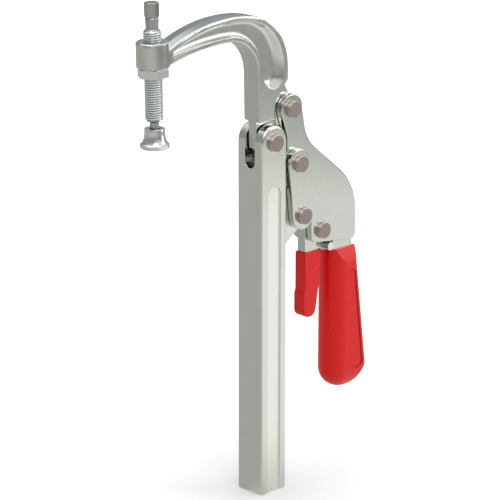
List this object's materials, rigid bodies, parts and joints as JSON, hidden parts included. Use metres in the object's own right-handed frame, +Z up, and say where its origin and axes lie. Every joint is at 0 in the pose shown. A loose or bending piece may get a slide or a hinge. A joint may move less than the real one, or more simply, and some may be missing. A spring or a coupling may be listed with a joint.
{
  "type": "hold-down toggle clamp",
  "caption": "Hold-down toggle clamp: swan-neck arm with a threaded spindle and swivel foot on a square bar, worked by a two-plate handle with red grip and release lever.",
  "frame": {"origin": "centre of the square bar's lower end face", "axes": "+Z up along the bar, -X from the bar towards the spindle, +X towards the handle, all pivots along Y"},
  "size_m": [0.266, 0.0444, 0.4692],
  "materials": {
    "zinc_plated_steel": "bright zinc plate on a lightly ground surface",
    "zinc_plated_spindle": "bright zinc plate, threaded",
    "coppery_pin_steel": "ground steel with a coppery tint",
    "hardened_bush": "hardened and ground",
    "red_plastic": "oil-resistant red plastic, fine-grained"
  },
  "bodies": {
    "base": {"base_bar": "zinc_plated_steel", "arm_pivot_pin": "coppery_pin_steel", "link_lower_pin": "coppery_pin_steel", "link_lower_bush": "hardened_bush"},
    "arm": {"arm": "zinc_plated_steel", "arm_pivot_bush": "hardened_bush", "handle_pivot_bush": "hardened_bush"},
    "nut": {"jam_nut": "zinc_plated_steel"},
    "spindle": {"spindle": "zinc_plated_spindle"},
    "foot": {"swivel_foot": "zinc_plated_steel"},
    "handle": {"handle_plate_left": "zinc_plated_steel", "handle_plate_right": "zinc_plated_steel", "handle_pivot_pin": "coppery_pin_steel", "link_upper_pin": "coppery_pin_steel", "knee_spacer": "hardened_bush", "lever_pivot_pin": "coppery_pin_steel", "grip": "red_plastic"},
    "links": {"link_plate_left": "zinc_plated_steel", "link_plate_right": "zinc_plated_steel", "link_upper_pin_end_left": "coppery_pin_steel", "link_upper_pin_end_right": "coppery_pin_steel"},
    "lever": {"release_lever": "zinc_plated_steel", "lever_sleeve": "red_plastic", "stop_pin": "coppery_pin_steel"}
  },
  "joints": [
    {"name": "arm_fold", "type": "hinge", "parent": "base", "child": "arm", "pos_m": [0, 0, 0.328], "axis": [0, 1, 0], "range_deg": [0, 80]},
    {"name": "handle_fold", "type": "hinge", "parent": "arm", "child": "handle", "pos_m": [0.02546, 0, 0.35355], "axis": [0, 1, 0], "range_deg": [-138.9, 0]},
    {"name": "link_fold", "type": "hinge", "parent": "base", "child": "links", "pos_m": [0.034, 0, 0.2556], "axis": [0, 1, 0], "range_deg": [0, 59.3]},
    {"name": "lever_squeeze", "type": "hinge", "parent": "handle", "child": "lever", "pos_m": [0.0646, 0, 0.2347], "axis": [0, -1, 0], "range_deg": [0, 3.5], "stiffness_Nm_per_rad": 0.6, "springref_deg": -17.19},
    {"name": "spindle_travel", "type": "slide", "parent": "arm", "child": "spindle", "axis": [-0.0175, 0, 0.9998], "range_m": [-0.008, 0.032]},
    {"name": "nut_travel", "type": "slide", "parent": "arm", "child": "nut", "axis": [-0.0175, 0, 0.9998], "range_m": [-0.008, 0]},
    {"name": "foot_swivel", "type": "hinge", "parent": "spindle", "child": "foot", "pos_m": [-0.12701, 0, 0.35629], "axis": [0, 1, 0], "range_deg": [-8, 8]}
  ],
  "couplings": [
    {"joint": "handle_fold", "follows": "arm_fold", "ratio": -1.7357},
    {"joint": "link_fold", "follows": "arm_fold", "ratio": 0.74024}
  ]
}
